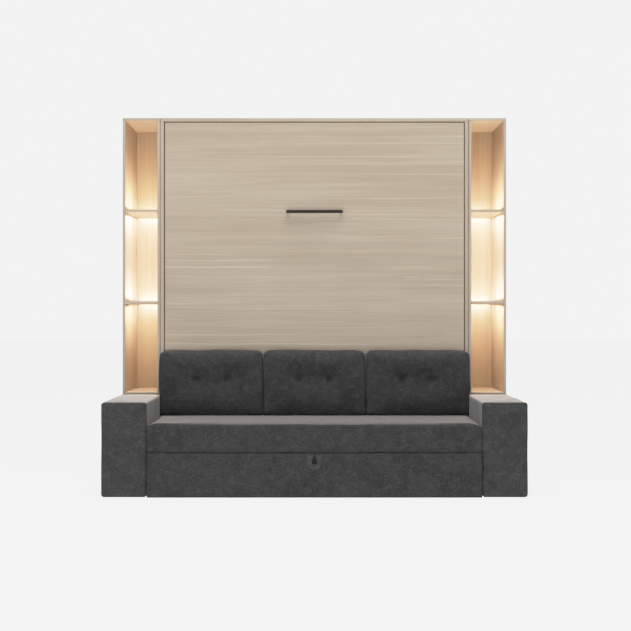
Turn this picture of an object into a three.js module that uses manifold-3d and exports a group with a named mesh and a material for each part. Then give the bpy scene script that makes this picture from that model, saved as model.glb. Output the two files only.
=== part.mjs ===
// Wall bed over a sofa, with an open shelf tower on each side.
//
// Millimetres, +Z up. The origin is on the floor under the middle of the whole
// piece of furniture. +X runs to the right as one faces the sofa, and +Y runs
// back to the wall. The bed is modelled closed, standing in its cabinet.
import * as THREE from 'three';
import { ConvexGeometry } from 'three/addons/geometries/ConvexGeometry.js';
import { RoundedBoxGeometry } from 'three/addons/geometries/RoundedBoxGeometry.js';
import { mergeVertices } from 'three/addons/utils/BufferGeometryUtils.js';
import Module from 'manifold-3d';

// ---------------------------------------------------------------- dimensions

// Overall
const TOTAL_HEIGHT = 2200;
const CABINET_DEPTH = 480;
const SOFA_DEPTH = 655; // sofa front to cabinet front
const STRAP_STAND_OFF = 10; // how far the pull strap stands in front of the sofa
const PULL_STRAP_DROP = 84; // how far it hangs down
const TOTAL_DEPTH = CABINET_DEPTH + SOFA_DEPTH + STRAP_STAND_OFF;
const FIT = 0.3; // gap between pieces that touch

// Bed cabinet
const BED_CABINET_WIDTH = 1867;
const CABINET_BOARD = 22;
const BACK_BOARD = 8;
const WALL_RAIL_HEIGHT = 90;

// Shelf towers
const TOWER_WIDTH = 229;
const TOWER_BOARD = 16;
const TOWER_JOINT = 2.4; // shadow line between tower and bed cabinet
const LOWEST_BAY_FLOOR = 537; // top face of the bottom board
const BAYS = 3;
const LIGHT_DEPTH = 12; // light bar behind each shelf

// Sofa
const SOFA_WIDTH = 2350;
const ARM_WIDTH = 250;
const ARM_HEIGHT = 525;
const ARM_SET_BACK = 7; // arm front behind the base front
const SEAT_TOP = 409;
const SEAT_BOTTOM = 247;
const SEAT_BOARD = 18;
const SEAT_CLEARANCE = 1; // between the seat and an arm
const DECK_INSET = 30; // deck's edges inside the seat pad's sides and back
const DECK_SET_BACK = 40; // deck's front edge behind the seat pad's front
const BACK_CUSHION_PITCH = 616.5;
const BACK_CUSHION_WIDTH = 615;
const BACK_CUSHION_HEIGHT = 380;
const BACK_CUSHION_DEPTH = 125;
const BACK_CUSHION_TAPER = 22; // how much thinner a back cushion is at its top

// Bed
const PANEL_BOARD = 18;
const PANEL_WIDTH = 1812;
const PANEL_TOP = 2172;
const PANEL_BOTTOM = 190;
const PIVOT_HEIGHT = 585;
const PIVOT_SET_BACK = 30; // pivot behind the panel's front face
const FLAP_PIN_DROP = 11; // flap pin under the panel's top edge
const FLAP_JOINT = 0.8; // joint line between flap and panel
const FLAP_FLOOR_GAP = 1; // under the flap when the bed is down
const BED_BOARD = 22;
const BED_BOARD_DEPTH = 102;
const BED_FRAME_OUTER = 834; // half width over the side boards
const SLAT_COUNT = 14;
const SLAT_WIDTH = 60;
const SLAT_THICKNESS = 12;
const SLAT_END_STRIP = 22;
const MATTRESS_WIDTH = 1600;
const MATTRESS_LENGTH = 1900;
const MATTRESS_THICKNESS = 170;
const MATTRESS_CORNER = 45;
const STRAP_WIDTH = 50; // mattress strap
const STRAP_THICKNESS = 2;
const STRAP_HEIGHT = 1380;
const HANDLE_LENGTH = 340;
const HANDLE_BAR_HEIGHT = 18;
const HANDLE_BAR_THICKNESS = 10;
const HANDLE_HEIGHT = 1631;
const HANDLE_PROUD = 30;

// Gas springs: both pins lie at the same radius from the bed pivot, so the
// spring's line turns by exactly half the bed's angle.
const GAS_PIN_RADIUS = 330;
const GAS_LEAN_DEG = 5.2;
const GAS_TUBE_RADIUS = 11;
const GAS_TUBE_LENGTH = 345;
const GAS_TUBE_START = 18; // from the upper pin to the tube
const GAS_ROD_RADIUS = 4;
const GAS_ROD_OVERLAP = 50; // rod left in the tube when fully extended
const GAS_PLANE = 872; // distance of the springs from the middle of the bed
const PIN_RADIUS = 5;
const STEEL_PLATE = 5;
const PLATE_MARGIN = 40; // of a steel plate past the bed pivot
const HINGE_PLATE_SET_BACK = 4;
const HINGE_PLATE_DEPTH = 72;
const STUB_RADIUS = 11;
const STUB_CLEARANCE = 0.7;
const FLAP_ARM_RADIUS = 5;
const FLAP_BORE_RADIUS = 4.4;
const FLAP_PIN_RADIUS = 4;
const FLAP_PLATE_DROP = 101; // length of the flap hinge's plate below its pin

// Storage box
const BOX_FRONT_BOTTOM = 4;
const BOX_FRONT_TOP = 243;
const BOX_FRONT_THICKNESS = 24;
const BOX_FRONT_CLEARANCE = 2; // between the box's front and an arm
const BOX_WIDTH = 1760;
const BOX_DEPTH = 560;
const BOX_WALL = 12;
const BOX_BOTTOM = 44;
const BOX_TOP = 205;
const WHEEL_RADIUS = 20;
const WHEEL_WIDTH = 18;
const WHEEL_INSET = 60; // wheel's middle inside the box's side
const WHEEL_ROWS = [
  ['front', 110], // behind the sofa's front
  ['rear', 500],
];
const AXLE_RADIUS = 3;

// ---------------------------------------------------------- derived positions

const BACK = TOTAL_DEPTH / 2; // wall plane
const FRONT = BACK - CABINET_DEPTH; // cabinet front plane
const SOFA_FRONT = FRONT - SOFA_DEPTH;
const CABINET_OUTER = BED_CABINET_WIDTH / 2;
const CABINET_INNER = CABINET_OUTER - CABINET_BOARD;
const CABINET_CEILING = TOTAL_HEIGHT - CABINET_BOARD;
const TOWER_INNER = CABINET_OUTER + TOWER_JOINT;
const TOWER_OUTER = CABINET_OUTER + TOWER_WIDTH;
const TOWER_CEILING = TOTAL_HEIGHT - TOWER_BOARD;
const BAY_HEIGHT =
  (TOWER_CEILING - LOWEST_BAY_FLOOR - (BAYS - 1) * TOWER_BOARD) / BAYS;
const BOARD_BACK = BACK - BACK_BOARD; // front face of the back boards
const SEAT_HALF = SOFA_WIDTH / 2 - ARM_WIDTH;

const PIVOT_Y = FRONT + PIVOT_SET_BACK;
const PANEL_BACK = FRONT + PANEL_BOARD;
const FLAP_PIN_Y = FRONT + PANEL_BOARD / 2;
const FLAP_PIN_Z = PANEL_TOP - FLAP_PIN_DROP;
const FLAP_DROP = PIVOT_HEIGHT - (PIVOT_Y - FLAP_PIN_Y) - FLAP_FLOOR_GAP;
const FLAP_BOTTOM = FLAP_PIN_Z - FLAP_DROP;
const SLAT_TOP = PANEL_BACK + 42; // face the mattress lies on
const BED_FRAME_INNER = BED_FRAME_OUTER - BED_BOARD;
const BED_FRAME_TOP = PANEL_TOP - 32;
const MATTRESS_BOTTOM = PANEL_BOTTOM + 25;

const GAS_LEAN = THREE.MathUtils.degToRad(GAS_LEAN_DEG);
const GAS_PIN_Y = PIVOT_Y + GAS_PIN_RADIUS * Math.sin(GAS_LEAN);
const GAS_PIN_RISE = GAS_PIN_RADIUS * Math.cos(GAS_LEAN);
const GAS_UPPER_Z = PIVOT_HEIGHT + GAS_PIN_RISE;
const GAS_LOWER_Z = PIVOT_HEIGHT - GAS_PIN_RISE;

// ------------------------------------------------------------------ materials

const finishes = {
  oak: { color: 0xbdb09d, roughness: 0.55, metalness: 0 },
  oakLight: { color: 0xc7b49a, roughness: 0.6, metalness: 0 },
  birch: { color: 0xd8c29a, roughness: 0.6, metalness: 0 },
  charcoalFabric: { color: 0x434343, roughness: 0.95, metalness: 0 },
  mattressFabric: { color: 0xece9e2, roughness: 0.95, metalness: 0 },
  webbing: { color: 0x6c6c6c, roughness: 0.9, metalness: 0 },
  blackSteel: { color: 0x2b2b2d, roughness: 0.5, metalness: 0.6 },
  zincSteel: { color: 0xb9bcc0, roughness: 0.35, metalness: 0.9 },
  chrome: { color: 0xdcdcdc, roughness: 0.12, metalness: 1 },
  bronzeBrown: { color: 0x42382f, roughness: 0.45, metalness: 0.5 },
  whitePlastic: { color: 0xe6e6e3, roughness: 0.5, metalness: 0 },
  lightDiffuser: { color: 0xfff1d6, roughness: 0.4, metalness: 0 },
  greyRubber: { color: 0x5a5b5c, roughness: 0.8, metalness: 0 },
};

function finish(name) {
  return new THREE.MeshStandardMaterial(finishes[name]);
}

// ------------------------------------------------------------- shape builders

const wasm = await Module();
wasm.setup();

function toSolid(geometry) {
  const bare = geometry.clone();
  bare.deleteAttribute('normal');
  bare.deleteAttribute('uv');
  const merged = mergeVertices(bare, 1e-3);
  return new wasm.Manifold(
    new wasm.Mesh({
      numProp: 3,
      vertProperties: new Float32Array(merged.attributes.position.array),
      triVerts: new Uint32Array(merged.index.array),
    })
  );
}

function toGeometry(solid) {
  const { vertProperties, triVerts } = solid.getMesh();
  const geometry = new THREE.BufferGeometry();
  geometry.setAttribute('position', new THREE.BufferAttribute(vertProperties, 3));
  geometry.setIndex(new THREE.BufferAttribute(triVerts, 1));
  geometry.computeVertexNormals();
  return geometry;
}

function join(geometries) {
  return toGeometry(geometries.map(toSolid).reduce((sum, next) => sum.add(next)));
}

function cut(geometry, tools) {
  return toGeometry(
    tools.map(toSolid).reduce((rest, tool) => rest.subtract(tool), toSolid(geometry))
  );
}

// A plain block between two limits on each axis.
function block([x0, x1], [y0, y1], [z0, z1]) {
  return new THREE.BoxGeometry(x1 - x0, y1 - y0, z1 - z0).translate(
    (x0 + x1) / 2,
    (y0 + y1) / 2,
    (z0 + z1) / 2
  );
}

// A board: a block whose edges are all broken by a small chamfer.
function board(xs, ys, zs, chamfer = 0.8) {
  const points = [];
  for (const i of [0, 1]) {
    for (const j of [0, 1]) {
      for (const k of [0, 1]) {
        const corner = [xs[i], ys[j], zs[k]];
        const inward = [1 - 2 * i, 1 - 2 * j, 1 - 2 * k];
        for (let sharp = 0; sharp < 3; sharp++) {
          points.push(
            new THREE.Vector3(
              ...corner.map((c, axis) => c + (axis === sharp ? 0 : inward[axis] * chamfer))
            )
          );
        }
      }
    }
  }
  return new ConvexGeometry(points);
}

// A stuffed block with rounded edges.
function pad([x0, x1], [y0, y1], [z0, z1], radius, segments = 2) {
  return new RoundedBoxGeometry(x1 - x0, y1 - y0, z1 - z0, segments, radius).translate(
    (x0 + x1) / 2,
    (y0 + y1) / 2,
    (z0 + z1) / 2
  );
}

// A round bar along X between two limits.
function barX([x0, x1], y, z, radius, segments = 32) {
  return new THREE.CylinderGeometry(radius, radius, x1 - x0, segments)
    .rotateZ(Math.PI / 2)
    .translate((x0 + x1) / 2, y, z);
}

// Limits on X, measured outwards from the middle, on the left (-1) or right (1).
function across(side, inner, outer) {
  return side > 0 ? [inner, outer] : [-outer, -inner];
}

function part(group, name, geometry, finishName) {
  const mesh = new THREE.Mesh(geometry, finish(finishName));
  mesh.name = name;
  group.add(mesh);
  return mesh;
}

const SIDES = [
  ['left', -1],
  ['right', 1],
];

// ----------------------------------------------------------------- bed cabinet

function buildCabinet() {
  const cabinet = new THREE.Group();
  const full = [FRONT, BACK];
  const width = [-CABINET_INNER + FIT, CABINET_INNER - FIT];
  for (const [label, side] of SIDES) {
    const xs = across(side, CABINET_INNER, CABINET_OUTER);
    part(cabinet, `cabinet_side_${label}`, board(xs, full, [0, CABINET_CEILING - FIT]), 'oak');
    part(cabinet, `hinge_plate_${label}`, hingePlate(side), 'zincSteel');
  }
  const lid = board([-CABINET_OUTER, CABINET_OUTER], full, [CABINET_CEILING, TOTAL_HEIGHT]);
  part(cabinet, 'cabinet_top', lid, 'oak');
  const back = board(width, [BOARD_BACK, BACK], [0, CABINET_CEILING - FIT]);
  part(cabinet, 'cabinet_back', back, 'oakLight');
  const wallRail = board(
    width,
    [BOARD_BACK - FIT - PANEL_BOARD, BOARD_BACK - FIT],
    [CABINET_CEILING - FIT - WALL_RAIL_HEIGHT, CABINET_CEILING - FIT]
  );
  part(cabinet, 'wall_rail', wallRail, 'oakLight');
  return cabinet;
}

// Steel plate on the cabinet side: the bearing hole for the bed's stub axle and
// the fixed upper pin of the gas spring.
function hingePlate(side) {
  const outerFace = CABINET_INNER - FIT;
  const plateXs = across(side, outerFace - STEEL_PLATE, outerFace);
  const plate = board(
    plateXs,
    [FRONT + HINGE_PLATE_SET_BACK, FRONT + HINGE_PLATE_SET_BACK + HINGE_PLATE_DEPTH],
    [PIVOT_HEIGHT - PLATE_MARGIN, GAS_UPPER_Z + 30]
  );
  const pin = barX(across(side, GAS_PLANE - 10, outerFace - 1), GAS_PIN_Y, GAS_UPPER_Z, PIN_RADIUS);
  const hole = barX(
    across(side, outerFace - 10, outerFace + 5),
    PIVOT_Y,
    PIVOT_HEIGHT,
    STUB_RADIUS + STUB_CLEARANCE
  );
  return cut(join([plate, pin]), [hole]);
}

// ---------------------------------------------------------------- shelf towers

function buildTower(label, side) {
  const tower = new THREE.Group();
  const full = [FRONT, BACK];
  const sideTop = TOWER_CEILING - FIT;
  const inner = across(side, TOWER_INNER, TOWER_INNER + TOWER_BOARD);
  const outer = across(side, TOWER_OUTER - TOWER_BOARD, TOWER_OUTER);
  part(tower, `tower_inner_side_${label}`, board(inner, full, [0, sideTop]), 'oak');
  part(tower, `tower_outer_side_${label}`, board(outer, full, [0, sideTop]), 'oak');
  const top = board(across(side, TOWER_INNER, TOWER_OUTER), full, [TOWER_CEILING, TOTAL_HEIGHT]);
  part(tower, `tower_top_${label}`, top, 'oak');

  const between = across(
    side,
    TOWER_INNER + TOWER_BOARD + FIT,
    TOWER_OUTER - TOWER_BOARD - FIT
  );
  const floor = [LOWEST_BAY_FLOOR - TOWER_BOARD, LOWEST_BAY_FLOOR];
  const backBoard = board(between, [BOARD_BACK, BACK], [0, sideTop]);
  part(tower, `tower_back_${label}`, backBoard, 'oakLight');
  const bottom = board(between, [FRONT, BOARD_BACK - FIT], floor);
  part(tower, `tower_bottom_${label}`, bottom, 'oak');

  const shelfBack = BOARD_BACK - FIT - LIGHT_DEPTH - FIT;
  const lightDepth = [shelfBack + FIT, BOARD_BACK - FIT];
  for (const [level, name] of [[1, 'lower'], [2, 'upper']]) {
    const underside = LOWEST_BAY_FLOOR + level * BAY_HEIGHT + (level - 1) * TOWER_BOARD;
    const thickness = [underside, underside + TOWER_BOARD];
    const shelf = board(between, [FRONT, shelfBack], thickness);
    part(tower, `shelf_${name}_${label}`, shelf, 'oak');
    const light = board(between, lightDepth, thickness, 1.5);
    part(tower, `shelf_light_${name}_${label}`, light, 'lightDiffuser');
  }
  return tower;
}

// The transformer that feeds the shelf lights, in the closed foot of a tower.
function lightTransformer() {
  const middle = (TOWER_INNER + TOWER_OUTER) / 2;
  const underside = LOWEST_BAY_FLOOR - TOWER_BOARD - FIT;
  return board([middle - 24, middle + 24], [BACK - 210, BACK - 50], [underside - 30, underside], 2);
}

// ------------------------------------------------------------------------ sofa

function buildSofa() {
  const sofa = new THREE.Group();
  const armSpan = [SOFA_FRONT + ARM_SET_BACK, FRONT - FIT];
  for (const [label, side] of SIDES) {
    const xs = across(side, SEAT_HALF, SOFA_WIDTH / 2);
    part(sofa, `sofa_arm_${label}`, pad(xs, armSpan, [0, ARM_HEIGHT], 16), 'charcoalFabric');
  }
  const seatXs = [-SEAT_HALF + SEAT_CLEARANCE, SEAT_HALF - SEAT_CLEARANCE];
  const deck = board(
    [-SEAT_HALF + DECK_INSET, SEAT_HALF - DECK_INSET],
    [SOFA_FRONT + DECK_SET_BACK, FRONT - DECK_INSET],
    [SEAT_BOTTOM - FIT, SEAT_BOTTOM + SEAT_BOARD]
  );
  part(sofa, 'seat_deck', deck, 'birch');
  const rearRail = board(seatXs, [FRONT - 26, FRONT - 6], [10, SEAT_BOTTOM - 2 * FIT]);
  part(sofa, 'seat_rear_rail', rearRail, 'birch');
  part(sofa, 'seat_cushion', seatCushion(seatXs), 'charcoalFabric');
  return sofa;
}

// The seat pad wraps over its deck, which sits in a recess underneath.
function seatCushion(xs) {
  const body = pad(xs, [SOFA_FRONT, FRONT - 4], [SEAT_BOTTOM, SEAT_TOP], 20);
  const recess = block(
    [-SEAT_HALF + DECK_INSET - FIT, SEAT_HALF - DECK_INSET + FIT],
    [SOFA_FRONT + DECK_SET_BACK - FIT, FRONT - DECK_INSET + FIT],
    [SEAT_BOTTOM - 10, SEAT_BOTTOM + SEAT_BOARD + FIT]
  );
  return cut(body, [recess]);
}

// A back cushion: full depth at its foot, thinner at its top.
function backCushion(middle) {
  const half = BACK_CUSHION_WIDTH / 2;
  const back = FRONT - 3;
  const foot = SEAT_TOP + 3;
  const geometry = pad(
    [middle - half, middle + half],
    [back - BACK_CUSHION_DEPTH, back],
    [foot, foot + BACK_CUSHION_HEIGHT],
    30
  );
  const points = geometry.attributes.position;
  for (let i = 0; i < points.count; i++) {
    const rise = (points.getZ(i) - foot) / BACK_CUSHION_HEIGHT;
    const forward = (back - points.getY(i)) / BACK_CUSHION_DEPTH;
    points.setY(i, points.getY(i) + BACK_CUSHION_TAPER * rise * forward);
  }
  return geometry;
}

function buildBackCushions() {
  const cushions = new THREE.Group();
  ['left', 'centre', 'right'].forEach((label, i) => {
    const geometry = backCushion((i - 1) * BACK_CUSHION_PITCH);
    part(cushions, `back_cushion_${label}`, geometry, 'charcoalFabric');
  });
  return cushions;
}

// ------------------------------------------------------------------------- bed

function buildBed() {
  const bed = new THREE.Group();
  const half = PANEL_WIDTH / 2;
  const thickness = [FRONT, PANEL_BACK];
  const panel = board([-half, half], thickness, [PANEL_BOTTOM, FLAP_BOTTOM - FLAP_JOINT], 0.5);
  part(bed, 'bed_front_panel', panel, 'oak');

  const depth = [PANEL_BACK + FIT, PANEL_BACK + FIT + BED_BOARD_DEPTH];
  for (const [label, side] of SIDES) {
    const xs = across(side, BED_FRAME_INNER, BED_FRAME_OUTER);
    part(bed, `bed_side_board_${label}`, board(xs, depth, [PANEL_BOTTOM, BED_FRAME_TOP]), 'birch');
    part(bed, `bed_pivot_${label}`, bedPivot(side), 'zincSteel');
    part(bed, `flap_hinge_${label}`, flapHinge(side), 'zincSteel');
  }
  const between = [-BED_FRAME_INNER + FIT, BED_FRAME_INNER - FIT];
  const head = board(between, depth, [PANEL_BOTTOM, PANEL_BOTTOM + BED_BOARD]);
  part(bed, 'bed_head_board', head, 'birch');
  const foot = board(between, depth, [BED_FRAME_TOP - BED_BOARD, BED_FRAME_TOP]);
  part(bed, 'bed_foot_board', foot, 'birch');

  const inside = [PANEL_BOTTOM + BED_BOARD + FIT, BED_FRAME_TOP - BED_BOARD - FIT];
  const beam = board([-20, 20], [PANEL_BACK + FIT, SLAT_TOP - 16], inside);
  part(bed, 'bed_centre_beam', beam, 'birch');
  part(bed, 'slat_base', slatBase(inside), 'birch');

  const mattress = pad(
    [-MATTRESS_WIDTH / 2, MATTRESS_WIDTH / 2],
    [SLAT_TOP + FIT, SLAT_TOP + FIT + MATTRESS_THICKNESS],
    [MATTRESS_BOTTOM, MATTRESS_BOTTOM + MATTRESS_LENGTH],
    MATTRESS_CORNER,
    3
  );
  part(bed, 'mattress', mattress, 'mattressFabric');
  part(bed, 'mattress_strap', mattressStrap(), 'webbing');
  return bed;
}

// Slats across the bed, held by a strip at each end and one over the beam.
function slatBase([z0, z1]) {
  const reach = BED_FRAME_INNER - 2 * FIT;
  const stripDepth = [SLAT_TOP - 15, SLAT_TOP - 1];
  const strips = [-reach, -SLAT_END_STRIP / 2, reach - SLAT_END_STRIP].map((x) =>
    block([x, x + SLAT_END_STRIP], stripDepth, [z0 + FIT, z1 - FIT])
  );
  const pitch = (z1 - z0) / SLAT_COUNT;
  const slats = Array.from({ length: SLAT_COUNT }, (_, i) => {
    const middle = z0 + (i + 0.5) * pitch;
    return block(
      [-reach + 2, reach - 2],
      [SLAT_TOP - SLAT_THICKNESS, SLAT_TOP],
      [middle - SLAT_WIDTH / 2, middle + SLAT_WIDTH / 2]
    );
  });
  return join([...strips, ...slats]);
}

// The belt that holds the mattress in the standing bed.
function mattressStrap() {
  const inner = MATTRESS_WIDTH / 2 + 1;
  const outer = inner + STRAP_THICKNESS;
  const face = SLAT_TOP + MATTRESS_THICKNESS + 1;
  const tailEnd = SLAT_TOP + 4;
  const outline = new THREE.Shape([
    new THREE.Vector2(-outer, tailEnd),
    new THREE.Vector2(-inner, tailEnd),
    new THREE.Vector2(-inner, face),
    new THREE.Vector2(inner, face),
    new THREE.Vector2(inner, tailEnd),
    new THREE.Vector2(outer, tailEnd),
    new THREE.Vector2(outer, face + STRAP_THICKNESS),
    new THREE.Vector2(-outer, face + STRAP_THICKNESS),
  ]);
  return new THREE.ExtrudeGeometry(outline, {
    depth: STRAP_WIDTH,
    bevelEnabled: false,
  }).translate(0, 0, STRAP_HEIGHT);
}

// Steel plate on the bed's side board: the stub axle the bed turns on, and the
// lower pin of the gas spring.
function bedPivot(side) {
  const inner = BED_FRAME_OUTER + FIT;
  const outer = inner + STEEL_PLATE;
  const plate = board(
    across(side, inner, outer),
    [PANEL_BACK + 2, GAS_PIN_Y + 20],
    [GAS_LOWER_Z - 20, PIVOT_HEIGHT + PLATE_MARGIN]
  );
  const stub = barX(across(side, outer - 1, CABINET_INNER - 3), PIVOT_Y, PIVOT_HEIGHT, STUB_RADIUS);
  const pin = barX(across(side, outer - 1, GAS_PLANE + 10), GAS_PIN_Y, GAS_LOWER_Z, PIN_RADIUS);
  return join([plate, stub, pin]);
}

// Steel arm at the top of the bed frame that carries the flap's pin.
function flapHinge(side) {
  const inner = BED_FRAME_OUTER + FIT;
  const outer = inner + STEEL_PLATE;
  const xs = across(side, inner, outer);
  const plate = block(xs, [PANEL_BACK + 7, PANEL_BACK + 70], [FLAP_PIN_Z - FLAP_PLATE_DROP, FLAP_PIN_Z + FLAP_ARM_RADIUS]);
  const arm = block(
    xs,
    [FLAP_PIN_Y, PANEL_BACK + 10],
    [FLAP_PIN_Z - FLAP_ARM_RADIUS, FLAP_PIN_Z + FLAP_ARM_RADIUS]
  );
  const eye = barX(xs, FLAP_PIN_Y, FLAP_PIN_Z, FLAP_ARM_RADIUS, 24);
  const pin = barX(
    across(side, inner + 1, outer + 20),
    FLAP_PIN_Y,
    FLAP_PIN_Z,
    FLAP_PIN_RADIUS,
    24
  );
  return join([plate, arm, eye, pin]);
}

// Upper part of the bed's front. It hangs from pins at its top edge and stands
// on the floor as the bed's foot when the bed is down.
function buildFlap() {
  const flap = new THREE.Group();
  const half = PANEL_WIDTH / 2;
  const plate = board([-half, half], [FRONT, PANEL_BACK], [FLAP_BOTTOM, PANEL_TOP], 0.5);
  const pockets = SIDES.flatMap(([, side]) => {
    const slotInner = BED_FRAME_OUTER - 4;
    const slotOuter = BED_FRAME_OUTER + STEEL_PLATE + 4;
    return [
      block(
        across(side, slotInner, slotOuter),
        [FLAP_PIN_Y - FLAP_ARM_RADIUS - 1, PANEL_BACK + 5],
        [FLAP_PIN_Z - FLAP_ARM_RADIUS - 1.5, PANEL_TOP + 5]
      ),
      barX(across(side, slotOuter - 1, slotOuter + 20), FLAP_PIN_Y, FLAP_PIN_Z, FLAP_BORE_RADIUS, 24),
    ];
  });
  part(flap, 'leg_flap', cut(plate, pockets), 'oak');
  part(flap, 'pull_handle', pullHandle(), 'bronzeBrown');
  return flap;
}

function pullHandle() {
  const half = HANDLE_LENGTH / 2;
  const zs = [HANDLE_HEIGHT - HANDLE_BAR_HEIGHT / 2, HANDLE_HEIGHT + HANDLE_BAR_HEIGHT / 2];
  const front = FRONT - HANDLE_PROUD;
  const bar = board([-half, half], [front, front + HANDLE_BAR_THICKNESS], zs, 1.5);
  const posts = [-1, 1].map((side) =>
    block(across(side, half - 16, half - 2), [front + 4, FRONT - FIT], [zs[0] + 2, zs[1] - 2])
  );
  return join([bar, ...posts]);
}

// ----------------------------------------------------------------- gas springs

// An eye around a pin, its axis along X.
function pinEye(x, z) {
  const ring = barX([x - 6, x + 6], GAS_PIN_Y, z, GAS_TUBE_RADIUS);
  const hole = barX([x - 10, x + 10], GAS_PIN_Y, z, PIN_RADIUS + 0.5);
  return { ring, hole };
}

// Turns a profile of [radius, height] pairs about a vertical axis.
function turned(profile, x, y) {
  const points = profile.map(([radius, height]) => new THREE.Vector2(radius, height));
  return new THREE.LatheGeometry(points, 24).rotateX(Math.PI / 2).translate(x, y, 0);
}

function gasCylinder(side) {
  const x = side * GAS_PLANE;
  const top = GAS_UPPER_Z - GAS_TUBE_START;
  const mouth = top - GAS_TUBE_LENGTH;
  const bore = GAS_TUBE_RADIUS - 1.5;
  const neck = GAS_ROD_RADIUS + 0.5;
  const tube = turned(
    [
      [0, top - 6],
      [bore, top - 6],
      [bore, mouth + 10],
      [neck, mouth + 10],
      [neck, mouth],
      [GAS_TUBE_RADIUS, mouth],
      [GAS_TUBE_RADIUS, top],
      [0, top],
    ],
    x,
    GAS_PIN_Y
  );
  const { ring, hole } = pinEye(x, GAS_UPPER_Z);
  const yoke = block([x - 5, x + 5], [GAS_PIN_Y - 5, GAS_PIN_Y + 5], [top - 3, GAS_UPPER_Z - 8]);
  return cut(join([tube, yoke, ring]), [hole]);
}

function gasRod(side) {
  const x = side * GAS_PLANE;
  const mouth = GAS_UPPER_Z - GAS_TUBE_START - GAS_TUBE_LENGTH;
  const tip = mouth + GAS_ROD_OVERLAP;
  const piston = GAS_TUBE_RADIUS - 2;
  const rod = turned(
    [
      [0, GAS_LOWER_Z + 8],
      [GAS_ROD_RADIUS, GAS_LOWER_Z + 8],
      [GAS_ROD_RADIUS, tip - 12],
      [piston, tip - 12],
      [piston, tip],
      [0, tip],
    ],
    x,
    GAS_PIN_Y
  );
  const { ring, hole } = pinEye(x, GAS_LOWER_Z);
  return cut(join([rod, ring]), [hole]);
}

function buildGasSprings() {
  const springs = new THREE.Group();
  for (const [label, side] of SIDES) {
    part(springs, `gas_cylinder_${label}`, gasCylinder(side), 'blackSteel');
    part(springs, `gas_rod_${label}`, gasRod(side), 'chrome');
  }
  return springs;
}

// ----------------------------------------------------------------- storage box

function buildStorage() {
  const storage = new THREE.Group();
  const front = pad(
    [-SEAT_HALF + BOX_FRONT_CLEARANCE, SEAT_HALF - BOX_FRONT_CLEARANCE],
    [SOFA_FRONT, SOFA_FRONT + BOX_FRONT_THICKNESS],
    [BOX_FRONT_BOTTOM, BOX_FRONT_TOP],
    8
  );
  part(storage, 'storage_box_front', front, 'charcoalFabric');
  part(storage, 'storage_box', storageBox(), 'birch');
  part(storage, 'pull_strap', pullStrap(), 'charcoalFabric');
  for (const [row, distance] of WHEEL_ROWS) {
    const y = SOFA_FRONT + distance;
    for (const [label, side] of SIDES) {
      const x = side * (BOX_WIDTH / 2 - WHEEL_INSET);
      const xs = [x - WHEEL_WIDTH / 2, x + WHEEL_WIDTH / 2];
      const bore = barX([x - WHEEL_WIDTH, x + WHEEL_WIDTH], y, WHEEL_RADIUS, AXLE_RADIUS + 0.5, 16);
      const wheel = cut(barX(xs, y, WHEEL_RADIUS, WHEEL_RADIUS), [bore]);
      part(storage, `box_wheel_${row}_${label}`, wheel, 'greyRubber');
    }
  }
  return storage;
}

// Open-topped box with an axle bracket over each wheel.
function storageBox() {
  const half = BOX_WIDTH / 2;
  const y0 = SOFA_FRONT + BOX_FRONT_THICKNESS + FIT;
  const y1 = y0 + BOX_DEPTH;
  const outside = block([-half, half], [y0, y1], [BOX_BOTTOM, BOX_TOP]);
  const inside = block(
    [-half + BOX_WALL, half - BOX_WALL],
    [y0 + BOX_WALL, y1 - BOX_WALL],
    [BOX_BOTTOM + 9, BOX_TOP + 10]
  );
  const brackets = WHEEL_ROWS.flatMap(([, distance]) =>
    SIDES.flatMap(([, side]) => axleBracket(side * (half - WHEEL_INSET), SOFA_FRONT + distance))
  );
  return join([cut(outside, [inside]), ...brackets]);
}

// Two cheeks under the box with an axle between them.
function axleBracket(x, y) {
  const cheekInner = WHEEL_WIDTH / 2 + 1;
  const cheeks = [-1, 1].map((side) => {
    const [a, b] = across(side, cheekInner, cheekInner + 3);
    return block([x + a, x + b], [y - 9, y + 9], [WHEEL_RADIUS - 6, BOX_BOTTOM + 2]);
  });
  const axle = barX([x - cheekInner - 1, x + cheekInner + 1], y, WHEEL_RADIUS, AXLE_RADIUS, 16);
  return [...cheeks, axle];
}

// The pull strap: a folded band that leaves a pointed hole for the fingers.
function pullStrap() {
  const top = BOX_FRONT_TOP - 2;
  const drop = PULL_STRAP_DROP;
  const outline = new THREE.Shape();
  outline.moveTo(-45, top);
  outline.lineTo(45, top);
  outline.quadraticCurveTo(44, top - 40, 32, top - 68);
  outline.quadraticCurveTo(22, top - drop, 0, top - drop);
  outline.quadraticCurveTo(-22, top - drop, -32, top - 68);
  outline.quadraticCurveTo(-44, top - 40, -45, top);
  const hole = new THREE.Path();
  hole.moveTo(0, top - 6);
  hole.quadraticCurveTo(-13, top - 34, -13, top - 48);
  hole.quadraticCurveTo(-12, top - 62, 0, top - 62);
  hole.quadraticCurveTo(12, top - 62, 13, top - 48);
  hole.quadraticCurveTo(13, top - 34, 0, top - 6);
  outline.holes.push(hole);
  return new THREE.ExtrudeGeometry(outline, {
    depth: STRAP_STAND_OFF - FIT,
    bevelEnabled: false,
    curveSegments: 5,
  })
    .rotateX(Math.PI / 2)
    .translate(0, SOFA_FRONT - FIT, 0);
}

// -------------------------------------------------------------------- assembly

const wallBed = new THREE.Group();
wallBed.add(buildCabinet());
for (const [label, side] of SIDES) {
  wallBed.add(buildTower(label, side));
}
part(wallBed, 'light_transformer', lightTransformer(), 'whitePlastic');
wallBed.add(buildSofa());
wallBed.add(buildBackCushions());
wallBed.add(buildBed());
wallBed.add(buildFlap());
wallBed.add(buildGasSprings());
wallBed.add(buildStorage());

export default wallBed;
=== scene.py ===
"""The looks of the wall bed: wood grain, velour upholstery, lit shelf towers and the bed inside."""

import math

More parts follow.
